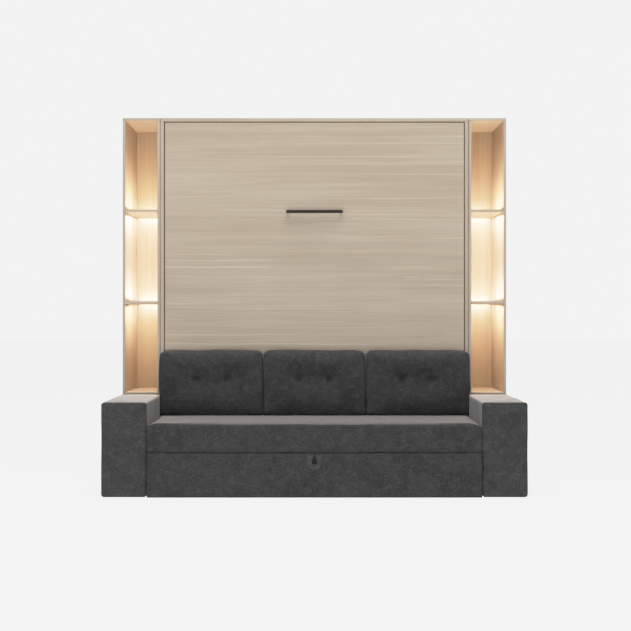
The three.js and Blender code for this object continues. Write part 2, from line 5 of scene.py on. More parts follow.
import bpy
import numpy as np
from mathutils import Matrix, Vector, noise


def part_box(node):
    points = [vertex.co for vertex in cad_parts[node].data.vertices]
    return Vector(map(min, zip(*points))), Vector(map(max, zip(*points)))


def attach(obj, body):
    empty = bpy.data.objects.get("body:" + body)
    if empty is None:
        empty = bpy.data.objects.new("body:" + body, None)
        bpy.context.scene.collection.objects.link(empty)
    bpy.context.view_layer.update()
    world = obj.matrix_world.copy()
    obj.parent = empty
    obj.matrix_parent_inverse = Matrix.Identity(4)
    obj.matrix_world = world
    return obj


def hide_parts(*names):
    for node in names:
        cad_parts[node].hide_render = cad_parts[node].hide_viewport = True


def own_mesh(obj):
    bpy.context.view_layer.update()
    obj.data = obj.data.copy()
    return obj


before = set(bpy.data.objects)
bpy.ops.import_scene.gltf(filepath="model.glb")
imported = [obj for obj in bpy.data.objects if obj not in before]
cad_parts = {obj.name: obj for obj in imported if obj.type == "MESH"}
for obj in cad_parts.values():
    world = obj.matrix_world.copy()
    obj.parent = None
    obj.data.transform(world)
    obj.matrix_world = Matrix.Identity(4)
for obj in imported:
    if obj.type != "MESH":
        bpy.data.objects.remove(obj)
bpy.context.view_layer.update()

SIDES = (("left", -1), ("right", 1))
MM = 0.001

# ------------------------------------------------------------------ colours (linear)

WOOD_DARK = (0.372, 0.303, 0.227)
WOOD_MID = (0.480, 0.404, 0.316)
WOOD_LIGHT = (0.590, 0.515, 0.420)
# The tower backs' wood, warmer and more orange than the rest: painted light, the shelf lights' warm
# glow.
PAINTED_GLOW_DARK = (0.360, 0.282, 0.196)
PAINTED_GLOW_MID = (0.466, 0.376, 0.272)
PAINTED_GLOW_LIGHT = (0.575, 0.482, 0.365)
BIRCH_DARK = (0.56, 0.42, 0.26)
BIRCH_MID = (0.68, 0.53, 0.35)
BIRCH_LIGHT = (0.78, 0.65, 0.46)
VELOUR_DARK = (0.026, 0.026, 0.027)
VELOUR_MID = (0.047, 0.047, 0.048)
VELOUR_LIGHT = (0.085, 0.085, 0.085)
# pale grey of the painted sheen on level velour tops
PAINTED_SHEEN_COLOUR = (0.50, 0.49, 0.475)
BAR_TINT = (1.0, 0.90, 0.78)
GLOW_TINT = (1.0, 0.86, 0.80)  # the light bar and what lies right beside it
MIDDLE_TINT = (1.0, 0.82, 0.75)  # the middle bay, between two light bars
OUTER_TINT = (1.0, 0.73, 0.53)  # the top and bottom bays

# ------------------------------------------------------------------ shader helpers


def add(tree, kind, inputs=None, **settings):
    """A node with its settings; each input is a value, or a socket to link from."""
    made = tree.nodes.new(kind)
    for key, value in settings.items():
        setattr(made, key, value)
    for key, value in (inputs or {}).items():
        if isinstance(value, bpy.types.NodeSocket):
            tree.links.new(value, made.inputs[key])
        else:
            made.inputs[key].default_value = value
    return made


def new_material(name, **constants):
    """A material with one Principled shader, and constants set on its sockets."""
    made = bpy.data.materials.new(name)
    made.use_nodes = True
    tree = made.node_tree
    shader = tree.nodes["Principled BSDF"]
    for key, value in constants.items():
        shader.inputs[key.replace("_", " ")].default_value = value
    return made, tree, shader


def rgba(colour):
    return (*colour, 1.0)


def coordinates(tree, scale=(1, 1, 1), turn=(0, 0, 0), shift=(0, 0, 0)):
    """Object coordinates, turned and stretched. Every piece's mesh is in the shared frame."""
    source = add(tree, "ShaderNodeTexCoord").outputs["Object"]
    return add(
        tree,
        "ShaderNodeMapping",
        {"Vector": source, "Scale": scale, "Rotation": turn, "Location": shift},
    ).outputs["Vector"]


def speckle(tree, vector, scale, detail=3.0, roughness=0.55):
    """A noise texture's value, most of it between 0.3 and 0.7."""
    return add(
        tree,
        "ShaderNodeTexNoise",
        {"Vector": vector, "Scale": scale, "Detail": detail, "Roughness": roughness},
    ).outputs["Fac"]


def spread(tree, value, low, high, to_low=0.0, to_high=1.0):
    """Maps low to high onto to_low to to_high, with soft ends."""
    return add(
        tree,
        "ShaderNodeMapRange",
        {"Value": value, "From Min": low, "From Max": high, "To Min": to_low, "To Max": to_high},
        interpolation_type="SMOOTHSTEP",
    ).outputs["Result"]


def calc(tree, operation, a, b):
    return add(tree, "ShaderNodeMath", {0: a, 1: b}, operation=operation).outputs[0]


def blend_colours(tree, factor, a, b):
    """Colour a turned towards colour b. The mix node's colours are inputs 6 and 7, output 2."""
    return add(tree, "ShaderNodeMix", {0: factor, 6: a, 7: b}, data_type="RGBA").outputs[2]


def layered(tree, base, layers):
    """A base colour with others over it; a layer is a noise, its range, its share, its colour."""
    colour = base
    for noise_value, low, high, share, tint in layers:
        cover = spread(tree, noise_value, low, high, 0.0, share)
        colour = blend_colours(tree, cover, colour, tint)
    return colour


def bump(tree, shader, height, distance, strength=1.0, under=None):
    """Bump on the shader's normal; under is the normal of a coarser bump to add it to."""
    inputs = {"Height": height, "Distance": distance, "Strength": strength}
    if under is not None:
        inputs["Normal"] = under
    out = add(tree, "ShaderNodeBump", inputs).outputs["Normal"]
    tree.links.new(out, shader.inputs["Normal"])
    return out


# ------------------------------------------------------------------ materials


def grain_scale(axis, along, across):
    """Texture scale that is stretched along one axis of the shared frame."""
    return tuple(along if name == axis else across for name in "XYZ")


GRAIN_SWAY = 0.014  # metres that the grain lines waver to each side


def wood(name, axis, dark, mid, light):
    """Wood-grain foil on board: wavy fibres, broader bands and a few pale streaks."""
    made, tree, shader = new_material(name, Roughness=0.5, Specular_IOR_Level=0.35)
    drift = add(
        tree, "ShaderNodeTexNoise", {"Vector": coordinates(tree), "Scale": 2.6}
    ).outputs["Color"]
    waves = add(
        tree, "ShaderNodeVectorMath", {0: drift, 1: (0.5, 0.5, 0.5)}, operation="SUBTRACT"
    ).outputs[0]
    sway = add(
        tree, "ShaderNodeVectorMath", {0: waves, "Scale": GRAIN_SWAY}, operation="SCALE"
    ).outputs[0]
    source = add(tree, "ShaderNodeTexCoord").outputs["Object"]
    swayed = add(tree, "ShaderNodeVectorMath", {0: source, 1: sway}, operation="ADD").outputs[0]

    def lines(along, across, detail, seed):
        """Noise drawn out along the grain: its scale along and across the grain, per metre."""
        place = add(
            tree,
            "ShaderNodeMapping",
            {
                "Vector": swayed,
                "Scale": grain_scale(axis, along, across),
                "Location": (seed, seed, seed),
            },
        ).outputs["Vector"]
        return speckle(tree, place, 1.0, detail, 0.6)

    bands = lines(0.5, 24, 4.0, 0.0)
    fibres = lines(1.7, 190, 4.0, 5.0)
    pores = lines(9.0, 520, 2.0, 9.0)
    clouds = lines(0.8, 3.4, 2.0, 13.0)
    streaks = lines(0.45, 74, 1.0, 21.0)
    body = layered(
        tree,
        rgba(dark),
        (
            (bands, 0.14, 0.86, 1.0, rgba(mid)),
            (clouds, 0.3, 0.75, 0.35, rgba(light)),
            (fibres, 0.38, 0.62, 0.40, rgba(dark)),
            (pores, 0.45, 0.8, 0.35, rgba(dark)),
            (streaks, 0.63, 0.70, 0.40, rgba(light)),
        ),
    )
    tree.links.new(body, shader.inputs["Base Color"])
    rough = spread(tree, fibres, 0.3, 0.7, 0.46, 0.60)
    tree.links.new(rough, shader.inputs["Roughness"])
    grooves = bump(tree, shader, fibres, 0.0002, 0.4)
    bump(tree, shader, pores, 0.0001, 0.3, grooves)
    return made


TUFT_PAINTED_SHADE = 0.45  # of the cloth's dark colour: the painted shade in a tuft's hollow
TUFT_SHADE_SHARE = 0.62  # of the colour in the middle of a tuft that is this shade
TUFT_SHADE_REACH = (0.004, 0.040)  # metres from a tuft where the painted shade starts and stops fading


def velour(name, shift, sheen, painted_top_sheen, shade, tufts=()):
    """Charcoal velour: cloudy brushed pile with a pale sheen where it is seen at a low angle.

    shift moves the pattern, and shade makes the cloth lighter or darker. The top sheen argument is
    how strongly level tops are painted pale where seen at a low angle: a painted sheen, standing in
    for light from above.
    tufts are pressed-in places, each darkened around with painted shade."""
    made, tree, shader = new_material(
        name,
        Roughness=0.9,
        Specular_IOR_Level=0.2,
        Sheen_Weight=sheen,
        Sheen_Roughness=0.36,
        Sheen_Tint=(0.93, 0.92, 0.90, 1.0),
    )
    deep, middle, light = (
        rgba([shade * value for value in colour])
        for colour in (VELOUR_DARK, VELOUR_MID, VELOUR_LIGHT)
    )
    place = coordinates(tree, shift=shift)
    clouds = speckle(tree, place, 6.5, 3.0, 0.5)
    patches = speckle(tree, place, 22.0, 4.0, 0.66)
    strokes = speckle(tree, coordinates(tree, (42, 42, 110), shift=shift), 1.0, 3.0, 0.65)
    pile = speckle(tree, place, 210.0, 3.0, 0.7)
    colour = layered(
        tree,
        deep,
        (
            (clouds, 0.34, 0.66, 1.0, middle),
            (patches, 0.38, 0.70, 0.82, light),
            (strokes, 0.36, 0.64, 0.60, deep),
            (pile, 0.38, 0.64, 0.55, light),
        ),
    )
    bare = coordinates(tree)
    # Painted shade: each tuft's hollow is darkened towards a deeper charcoal, fading out from its
    # middle.
    hollow = rgba([TUFT_PAINTED_SHADE * value for value in deep[:3]])
    for tuft in tufts:
        away = add(
            tree, "ShaderNodeVectorMath", {0: bare, 1: tuft}, operation="DISTANCE"
        ).outputs["Value"]
        pressed = spread(tree, away, *TUFT_SHADE_REACH, TUFT_SHADE_SHARE, 0.0)
        colour = blend_colours(tree, pressed, colour, hollow)
    # Painted sheen: level tops turn pale grey where seen at a low angle, as if lit from above,
    # unevenly over the patches.
    facing = add(tree, "ShaderNodeLayerWeight", {"Blend": 0.5}).outputs["Facing"]
    normal = add(tree, "ShaderNodeNewGeometry").outputs["Normal"]
    up = add(tree, "ShaderNodeSeparateXYZ", {"Vector": normal}).outputs["Z"]
    painted_low_angle_sheen = spread(tree, facing, 0.55, 0.93, 0.0, painted_top_sheen)
    painted_sheen_on_tops = calc(tree, "MULTIPLY", painted_low_angle_sheen, spread(tree, up, 0.45, 0.95))
    painted_sheen_on_tops = calc(tree, "MULTIPLY", painted_sheen_on_tops, spread(tree, patches, 0.30, 0.66, 1.12, 0.82))
    colour = blend_colours(tree, painted_sheen_on_tops, colour, rgba(PAINTED_SHEEN_COLOUR))
    tree.links.new(colour, shader.inputs["Base Color"])
    tree.links.new(spread(tree, patches, 0.3, 0.7, 0.82, 1.0), shader.inputs["Roughness"])
    soft = bump(tree, shader, patches, 0.003, 0.35)
    bump(tree, shader, pile, 0.0016, 0.5, soft)
    return made


def ticking():
    """Knitted mattress ticking, off white with a faint diamond knit."""
    made, tree, shader = new_material(
        "mattress_ticking", Roughness=0.85, Sheen_Weight=0.3, Sheen_Roughness=0.5
    )
    slanted = coordinates(tree, turn=(0, 0.785, 0))
    knit = add(
        tree, "ShaderNodeTexWave", {"Vector": slanted, "Scale": 60.0, "Distortion": 0.6}
    ).outputs["Fac"]
    yarn = speckle(tree, coordinates(tree), 520.0, 2.0)
    tone = speckle(tree, coordinates(tree), 4.0, 3.0)
    colour = blend_colours(tree, knit, (0.72, 0.70, 0.66, 1), (0.80, 0.78, 0.745, 1))
    uneven = spread(tree, tone, 0.3, 0.7, 0, 0.4)
    colour = blend_colours(tree, uneven, colour, (0.74, 0.71, 0.66, 1))
    tree.links.new(colour, shader.inputs["Base Color"])
    rough = spread(tree, yarn, 0.3, 0.7, 0.78, 0.95)
    tree.links.new(rough, shader.inputs["Roughness"])
    coarse = bump(tree, shader, knit, 0.0006, 0.5)
    bump(tree, shader, yarn, 0.0005, 0.5, coarse)
    return made


WEAVE_SCALE = 900.0 / 3.14  # of the wave texture that makes the webbing's threads


def woven(name, colour, light):
    """Webbing with a crossed weave."""
    made, tree, shader = new_material(name, Roughness=0.85, Sheen_Weight=0.2)
    rows = [
        add(
            tree,
            "ShaderNodeTexWave",
            {"Vector": coordinates(tree), "Scale": WEAVE_SCALE, "Distortion": 0.4},
            bands_direction=direction,
        ).outputs["Fac"]
        for direction in ("X", "Z")
    ]
    weave = calc(tree, "MULTIPLY", rows[0], rows[1])
    tone = blend_colours(tree, weave, rgba(colour), rgba(light))
    tree.links.new(tone, shader.inputs["Base Color"])
    bump(tree, shader, weave, 0.0006, 0.6)
    return made


def metal(name, colour, worn, roughness, brush=(1, 1, 1), metallic=1.0):
    """Metal or lacquered metal with fine brushing and slightly uneven gloss."""
    made, tree, shader = new_material(name, Metallic=metallic)
    lines = speckle(tree, coordinates(tree, brush), 600.0, 3.0)
    smears = speckle(tree, coordinates(tree), 14.0, 4.0)
    tone = blend_colours(tree, spread(tree, smears, 0.35, 0.75, 0, 0.6), rgba(colour), rgba(worn))
    tree.links.new(tone, shader.inputs["Base Color"])
    low, high = roughness
    brushed = spread(tree, lines, 0.3, 0.7, low, high)
    rough = calc(tree, "ADD", brushed, spread(tree, smears, 0.3, 0.7, 0.0, 0.08))
    tree.links.new(rough, shader.inputs["Roughness"])
    bump(tree, shader, lines, 0.0001, 0.3)
    return made


def plastic(name, colour, second, roughness=0.5, **constants):
    """Moulded plastic or rubber with a fine spark-eroded grain."""
    made, tree, shader = new_material(name, **constants)
    pits = speckle(tree, coordinates(tree), 900.0, 2.0)
    tone = speckle(tree, coordinates(tree), 25.0, 3.0)
    tree.links.new(
        blend_colours(tree, spread(tree, tone, 0.3, 0.7), rgba(colour), rgba(second)),
        shader.inputs["Base Color"],
    )
    rough = spread(tree, pits, 0.3, 0.7, roughness - 0.08, roughness + 0.1)
    tree.links.new(rough, shader.inputs["Roughness"])
    bump(tree, shader, pits, 0.0002, 0.4)
    return made


def pale_floor(brightness):
    """Pale studio floor. Part of its light is its own, so that shadows on it stay faint."""
    made, tree, shader = new_material("pale_floor", Roughness=0.9, Specular_IOR_Level=0.1)
    tone = speckle(tree, coordinates(tree), 0.6, 3.0)
    colour = blend_colours(tree, tone, (0.115, 0.115, 0.115, 1), (0.125, 0.125, 0.125, 1))
    tree.links.new(colour, shader.inputs["Base Color"])
    shader.inputs["Emission Color"].default_value = (1, 1, 1, 1)
    shader.inputs["Emission Strength"].default_value = brightness
    return made


WOOD = {
    axis: wood(f"wood_grain_{axis.lower()}", axis, WOOD_DARK, WOOD_MID, WOOD_LIGHT)
    for axis in "XZ"
}
# painted light: the same wood grain, tinted with the shelf lights' warm glow
PAINTED_GLOW_WOOD = wood("wood_grain_painted_glow", "Z", PAINTED_GLOW_DARK, PAINTED_GLOW_MID, PAINTED_GLOW_LIGHT)
BIRCH = {
    axis: wood(f"birch_{axis.lower()}", axis, BIRCH_DARK, BIRCH_MID, BIRCH_LIGHT)
    for axis in "XZ"
}
ZINC = metal("zinc_steel", (0.50, 0.51, 0.53), (0.60, 0.60, 0.62), (0.28, 0.42), (1, 1, 8))
CHROME = metal("chrome_rod", (0.74, 0.75, 0.76), (0.82, 0.82, 0.83), (0.06, 0.12))
BLACK_STEEL = metal(
    "black_steel", (0.016, 0.016, 0.018), (0.03, 0.03, 0.03), (0.32, 0.45), metallic=0.3
)
HANDLE_BROWN = metal(
    "handle_brown",
    (0.014, 0.0085, 0.0055),
    (0.020, 0.013, 0.008),
    (0.44, 0.58),
    brush=(6, 1, 1),
    metallic=0.4,
)
WHITE_PLASTIC = plastic("white_plastic", (0.74, 0.74, 0.72), (0.80, 0.80, 0.78))
GREY_RUBBER = plastic("grey_rubber", (0.085, 0.085, 0.088), (0.12, 0.12, 0.12), 0.7)
ALUMINIUM = metal("aluminium", (0.62, 0.62, 0.63), (0.70, 0.70, 0.70), (0.26, 0.38), (8, 1, 1))
DIFFUSER = plastic(
    "light_diffuser",
    (1.0, 0.90, 0.72),
    (1.0, 0.87, 0.66),
    roughness=0.4,
    Emission_Color=rgba(BAR_TINT),
    Emission_Strength=2.2,
)
TICKING = ticking()
WEBBING = woven("webbing", (0.10, 0.10, 0.105), (0.20, 0.20, 0.21))

# ------------------------------------------------------------------ mesh helpers


def make(name, points, faces, material, smooth=True):
    """A new piece from its points and faces."""
    mesh = bpy.data.meshes.new(name)
    mesh.from_pydata([tuple(map(float, p)) for p in points], [], faces)
    mesh.update()
    if smooth:
        mesh.shade_smooth()
    piece = bpy.data.objects.new(name, mesh)
    bpy.context.scene.collection.objects.link(piece)
    mesh.materials.append(material)
    return piece


def get_points(piece):
    flat = np.empty(len(piece.data.vertices) * 3)
    piece.data.vertices.foreach_get("co", flat)
    return flat.reshape(-1, 3)


def set_points(piece, points):
    piece.data.vertices.foreach_set("co", np.ascontiguousarray(points, np.float32).ravel())
    piece.data.update()


def get_normals(piece):
    flat = np.empty(len(piece.data.vertices) * 3)
    piece.data.vertices.foreach_get("normal", flat)
    return flat.reshape(-1, 3)


def stations(low, high, radius, cell, arcs):
    """Grid lines along one axis: closer together in the rounded ends."""
    turn = [radius * math.tan(math.pi / 4 * k / arcs) for k in range(arcs, 0, -1)]
    count = max(1, round((high - low - 2 * radius) / cell))
    middle = np.linspace(low + radius, high - radius, count + 1)
    ends = [low + radius - t for t in turn], [high - radius + t for t in reversed(turn)]
    return np.array([*ends[0], *middle, *ends[1]])


def soft_block(name, low, high, radius, cell, material, arcs=3):
    """A rounded block as an even grid of quads about one cell wide, ready to be inflated."""
    lines = [stations(low[i], high[i], radius, cell, arcs) for i in range(3)]
    counts = [len(line) - 1 for line in lines]
    index, points, faces = {}, [], []

    def corner(key):
        if key not in index:
            index[key] = len(points)
            points.append([lines[i][key[i]] for i in range(3)])
        return index[key]

    for axis in range(3):
        u, v = (axis + 1) % 3, (axis + 2) % 3
        for end in (0, counts[axis]):
            for i in range(counts[u]):
                for j in range(counts[v]):
                    ring = []
                    for du, dv in ((0, 0), (1, 0), (1, 1), (0, 1)):
                        key = [0, 0, 0]
                        key[axis], key[u], key[v] = end, i + du, j + dv
                        ring.append(corner(tuple(key)))
                    faces.append(ring if end else ring[::-1])
    points = np.array(points)
    inner = np.clip(points, np.array(low) + radius, np.array(high) - radius)
    out = points - inner
    length = np.linalg.norm(out, axis=1, keepdims=True)
    points = inner + out / np.maximum(length, 1e-9) * radius
    return make(name, points, faces, material)


def ripple(piece, height, scale, seed, where=None):
    """Small uneven swells, as stuffing and stretched cloth have."""
    points, normals = get_points(piece), get_normals(piece)
    shift = Vector((seed * 3.7, seed * 1.9, seed * 5.3))
    values = np.array([noise.noise(Vector(p) * scale + shift) for p in points])
    if where is not None:
        values = values * where(points)
    set_points(piece, points + normals * (values * height)[:, None])


TUBE_SIDES = 8


def tube(name, path, radius, material):
    """A round cord along a closed list of points."""
    path = [Vector(p) for p in path]
    count = len(path)
    points, faces = [], []
    side = None
    for i in range(count):
        along = (path[(i + 1) % count] - path[i - 1]).normalized()
        if side is None:
            side = along.orthogonal()
        side = side - along * along.dot(side)
        side.normalize()
        up = along.cross(side)
        for k in range(TUBE_SIDES):
            angle = 2 * math.pi * k / TUBE_SIDES
            points.append(path[i] + (side * math.cos(angle) + up * math.sin(angle)) * radius)
    for i in range(count):
        a, b = i * TUBE_SIDES, (i + 1) % count * TUBE_SIDES
        for k in range(TUBE_SIDES):
            m = (k + 1) % TUBE_SIDES
            faces.append([a + k, a + m, b + m, b + k])
    return make(name, points, faces, material)


def rounded_loop(low, high, radius, arcs=8, step=0.02):
    """Points round a rectangle with rounded corners, in two dimensions."""
    points = []
    corners = (
        (high[0] - radius, high[1] - radius, 0),
        (low[0] + radius, high[1] - radius, 90),
        (low[0] + radius, low[1] + radius, 180),
        (high[0] - radius, low[1] + radius, 270),
    )
    for x, y, start in corners:
        for k in range(arcs + 1):
            angle = math.radians(start + 90 * k / arcs)
            points.append((x + radius * math.cos(angle), y + radius * math.sin(angle)))
    filled = []
    for a, b in zip(points, points[1:] + points[:1]):
        pieces = max(1, round(math.dist(a, b) / step))
        filled += [
            (a[0] + (b[0] - a[0]) * k / pieces, a[1] + (b[1] - a[1]) * k / pieces)
            for k in range(pieces)
        ]
    return filled


def join_into(name, parts):
    """Joins several pieces into one."""
    bpy.ops.object.select_all(action="DESELECT")
    for part in parts:
        part.select_set(True)
    bpy.context.view_layer.objects.active = parts[0]
    bpy.ops.object.join()
    parts[0].name = name
    return parts[0]


def subdivide(piece):
    apply_modifier(piece, "SUBSURF", levels=1, render_levels=1)


def apply_modifier(piece, kind, **settings):
    modifier = piece.modifiers.new(kind.title(), kind)
    for key, value in settings.items():
        setattr(modifier, key, value)
    bpy.context.view_layer.objects.active = piece
    bpy.ops.object.modifier_apply(modifier=modifier.name)


CLOTH_FRAMES = 20


def inflate(piece, pressure, cap, held):
    """Blows a closed shape up as cloth, by cap at most; held marks points that stay in place."""
    rest = get_points(piece)
    group = piece.vertex_groups.new(name="held")
    group.add([int(i) for i in np.flatnonzero(held)], 1.0, "REPLACE")
    modifier = piece.modifiers.new("Cloth", "CLOTH")
    cloth = modifier.settings
    cloth.quality = 5
    cloth.mass = 0.3
    cloth.tension_stiffness = 10
    cloth.compression_stiffness = 10
    cloth.shear_stiffness = 5
    cloth.bending_stiffness = 0.3
    cloth.use_pressure = True
    cloth.uniform_pressure_force = pressure
    cloth.effector_weights.gravity = 0
    cloth.vertex_group_mass = "held"
    scene = bpy.context.scene
    for step in range(1, CLOTH_FRAMES + 1):
        scene.frame_set(step)
    shaped = piece.evaluated_get(bpy.context.evaluated_depsgraph_get())
    flat = np.empty(len(shaped.data.vertices) * 3)
    shaped.data.vertices.foreach_get("co", flat)
    moved = flat.reshape(-1, 3) - rest
    piece.modifiers.remove(modifier)
    piece.vertex_groups.remove(group)
    scene.frame_set(1)
    length = np.linalg.norm(moved, axis=1, keepdims=True)
    set_points(piece, rest + moved * np.minimum(1, cap / np.maximum(length, 1e-9)))


def box_of(node):
    low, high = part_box(node)
    return np.array(low), np.array(high)


# ------------------------------------------------------------------ camera and studio

CAMERA_DISTANCE = 7.1  # from the cabinet's front plane
EYE_HEIGHT = 1.012
LENS = 66.84
FRAME_SHIFT = (0.0017, -0.0024)


def camera():
    """A level camera in front of the cabinet's middle."""
    front = box_of("cabinet_side_left")[0][1]
    data = bpy.data.cameras.new("camera")
    data.lens = LENS
    data.sensor_width = 36.0
    data.shift_x, data.shift_y = FRAME_SHIFT
    made = bpy.data.objects.new("camera", data)
    made.location = (0.0, front - CAMERA_DISTANCE, EYE_HEIGHT)
    made.rotation_euler = (math.pi / 2, 0, 0)
    bpy.context.scene.collection.objects.link(made)
    bpy.context.scene.camera = made


def lamp(name, place, aim, size, power, colour=(1, 1, 1)):
    """A rectangular area light at a place, turned towards aim."""
    data = bpy.data.lights.new(name, "AREA")
    data.shape = "RECTANGLE"
    data.size, data.size_y = size
    data.energy = power
    data.color = colour
    made = bpy.data.objects.new(name, data)
    made.location = place
    made.rotation_euler = (Vector(aim) - Vector(place)).to_track_quat("-Z", "Y").to_euler()
    bpy.context.scene.collection.objects.link(made)
    return made


BACKGROUND = 1.285  # scene brightness that the tone curve turns into the pale backdrop
SKY_LIGHT = 0.34  # brightness of the world as a light
FLOOR_GLOW = 1.17
FLOOR_REACH = 40.0
TONE_RANGE = 3.0  # scene brightness at the tone curve's end
TONE_KNEE = 0.5  # brightness above which it rolls off
TONE_STEPS = 14


def tone_curve():
    """Leaves the darker half as it is and rolls the highlights off, as film does."""
    settings = bpy.context.scene.view_settings
    settings.view_transform = "Standard"
    settings.use_curve_mapping = True
    mapping = settings.curve_mapping
    mapping.white_level = (TONE_RANGE, TONE_RANGE, TONE_RANGE)
    curve = mapping.curves[3]
    steps = [
        TONE_KNEE + (TONE_RANGE - TONE_KNEE) * (k / TONE_STEPS) ** 1.6
        for k in range(TONE_STEPS + 1)
    ]
    rest = 1 - TONE_KNEE
    heights = [TONE_KNEE + rest * (1 - math.exp((TONE_KNEE - x) / rest)) for x in steps]
    curve.points[0].location = (0, 0)
    curve.points[-1].location = (1, heights[-1])
    for x, y in zip(steps[:-1], heights):
        curve.points.new(x / TONE_RANGE, y)
    for point in curve.points:
        point.handle_type = "VECTOR"
    mapping.update()


def studio():
    """A bright backdrop that lights little itself, a pale floor and two soft lights."""
    world = bpy.data.worlds.new("studio")
    bpy.context.scene.world = world
    world.use_nodes = True
    tree = world.node_tree
    sky = tree.nodes["Background"]
    sky.inputs["Color"].default_value = (1, 1, 1, 1)
    seen = add(tree, "ShaderNodeLightPath").outputs["Is Camera Ray"]
    strength = add(
        tree,
        "ShaderNodeMapRange",
        {"Value": seen, "To Min": SKY_LIGHT, "To Max": BACKGROUND},
    ).outputs["Result"]
    tree.links.new(strength, sky.inputs["Strength"])
    reach = FLOOR_REACH
    floor = make(
        "floor",
        [(-reach, -reach, 0), (reach, -reach, 0), (reach, reach, 0), (-reach, reach, 0)],
        [[0, 1, 2, 3]],
        pale_floor(FLOOR_GLOW),
    )
    lamp("key", place=(-0.3, -1.5, 7.2), aim=(0, -0.4, 0.8), size=(5.0, 3.0), power=430)
    lamp("fill", place=(-1.0, -8.0, 0.9), aim=(0, 0, 0.7), size=(5.0, 1.6), power=120)
    tone_curve()


# ------------------------------------------------------------------ wood and metal on CAD nodes


def paint(material, *names):
    """Gives CAD nodes a material."""
    for name in names:
        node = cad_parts[name]
        node.data.materials.clear()
        node.data.materials.append(material)


def both(*names):
    """The names of the left and the right node of each kind."""
    return [f"{name}_{label}" for name in names for label, _ in SIDES]


def paint_frame():
    """Materials for every CAD node that stays visible."""
    paint(WOOD["Z"], *both("cabinet_side", "tower_inner_side", "tower_outer_side"))
    # painted light: the tower backs take the wood tinted with the shelf lights' warm glow
    paint(PAINTED_GLOW_WOOD, *both("tower_back"))
    paint(WOOD["Z"], "cabinet_back")
    paint(WOOD["X"], "cabinet_top", "bed_front_panel", "leg_flap", "wall_rail")
    paint(WOOD["X"], *both("tower_top", "tower_bottom", "shelf_lower", "shelf_upper"))
    paint(BIRCH["X"], "seat_deck", "seat_rear_rail", "bed_head_board", "bed_foot_board")
    paint(BIRCH["X"], "slat_base", "storage_box")
    paint(BIRCH["Z"], "bed_centre_beam", *both("bed_side_board"))
    paint(ZINC, *both("bed_pivot", "flap_hinge"))
    paint(BLACK_STEEL, *both("hinge_plate", "gas_cylinder"))
    paint(CHROME, *both("gas_rod"))
    paint(HANDLE_BROWN, "pull_handle")
    paint(WHITE_PLASTIC, "light_transformer")
    paint(GREY_RUBBER, *both("box_wheel_front", "box_wheel_rear"))


BAND = 0.5 * MM  # how far the edge band stands out of the flap's edge, and reaches into it


def edge_band():
    """Wood-grain band along the flap's lower edge, which all but closes the joint there."""
    low, high = box_of("leg_flap")
    piece = soft_block(
        "flap_edge_band",
        (low[0], low[1], low[2] - BAND),
        (high[0], high[1], low[2] + BAND),
        radius=0.2 * MM,
        cell=60 * MM,
        material=WOOD["X"],
        arcs=1,
    )
    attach(piece, "leg_flap")


# ------------------------------------------------------------------ shelf lights

CHANNEL_WALL = 1.2 * MM
DIFFUSER_INSET = (1 * MM, 0.2 * MM, 0.5 * MM)  # from the channel, along each axis
GLOW_DEPTH = 80 * MM  # of the lights that stand for the bar's bright strip on the back board
GLOW_POWER = 0.48
MIDDLE_POWER = 4.0  # of the wash over a whole bay: the middle one,
OUTER_POWER = 4.2  # and the top and bottom ones
BACK_GAP = 3 * MM  # between a wash light and the board behind it
SIDE_GAP = 16 * MM  # and the boards beside it


def shelf_light(level, label):
    """An opal bar in an aluminium channel, which lights the bays above and below its shelf."""
    node = f"shelf_light_{level}_{label}"
    low, high = box_of(node)
    front = low[1] + CHANNEL_WALL
    gap_x, gap_y, gap_z = DIFFUSER_INSET
    bar = soft_block(
        f"diffuser_{level}_{label}",
        (low[0] + gap_x, front + gap_y, low[2] + gap_z),
        (high[0] - gap_x, high[1] - CHANNEL_WALL - gap_y, high[2] - gap_z),
        radius=2 * MM,
        cell=20 * MM,
        material=DIFFUSER,
    )
    walls = [
        soft_block(
            f"wall_{i}",
            (low[0], y, low[2]),
            (high[0], y + CHANNEL_WALL, high[2]),
            radius=0.4 * MM,
            cell=30 * MM,
            material=ALUMINIUM,
            arcs=1,
        )
        for i, y in enumerate((low[1], high[1] - CHANNEL_WALL))
    ]
    channel = join_into(f"light_channel_{level}_{label}", walls)
    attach(bar, "cabinet")
    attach(channel, "cabinet")
    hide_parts(node)
    middle_x = (low[0] + high[0]) / 2
    width = high[0] - low[0] - 2 * SIDE_GAP
    shelf_front = box_of(f"shelf_{level}_{label}")[0][1]
    back = box_of(f"tower_back_{label}")[0][1] - BACK_GAP
    glow_y = back - GLOW_DEPTH / 2
    wash_y = (shelf_front + back) / 2
    for name, sign, z in (("up", 1, high[2] + 1.5 * MM), ("down", -1, low[2] - 1.5 * MM)):
        in_middle = (name == "up") == (level == "lower")
        lamp(
            f"glow_{name}_{level}_{label}",
            place=(middle_x, glow_y, z),
            aim=(middle_x, glow_y, z + sign * 0.3),
            size=(width, GLOW_DEPTH),
            power=GLOW_POWER,
            colour=GLOW_TINT,
        ).visible_camera = False
        lamp(
            f"wash_{name}_{level}_{label}",
            place=(middle_x, wash_y, z + sign * 2 * MM),
            aim=(middle_x, wash_y + 0.02, z + sign * 0.4),
            size=(width, back - shelf_front),
            power=MIDDLE_POWER if in_middle else OUTER_POWER,
            colour=MIDDLE_TINT if in_middle else OUTER_TINT,
        ).visible_camera = False


# ------------------------------------------------------------------ upholstery


def finish_pad(piece, body, node):
    """Attaches a padded piece to its body and hides the CAD node that it stands in for."""
    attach(piece, body)
    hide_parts(node)


def smooth(piece, rounds):
    apply_modifier(piece, "SMOOTH", iterations=rounds, factor=0.5)


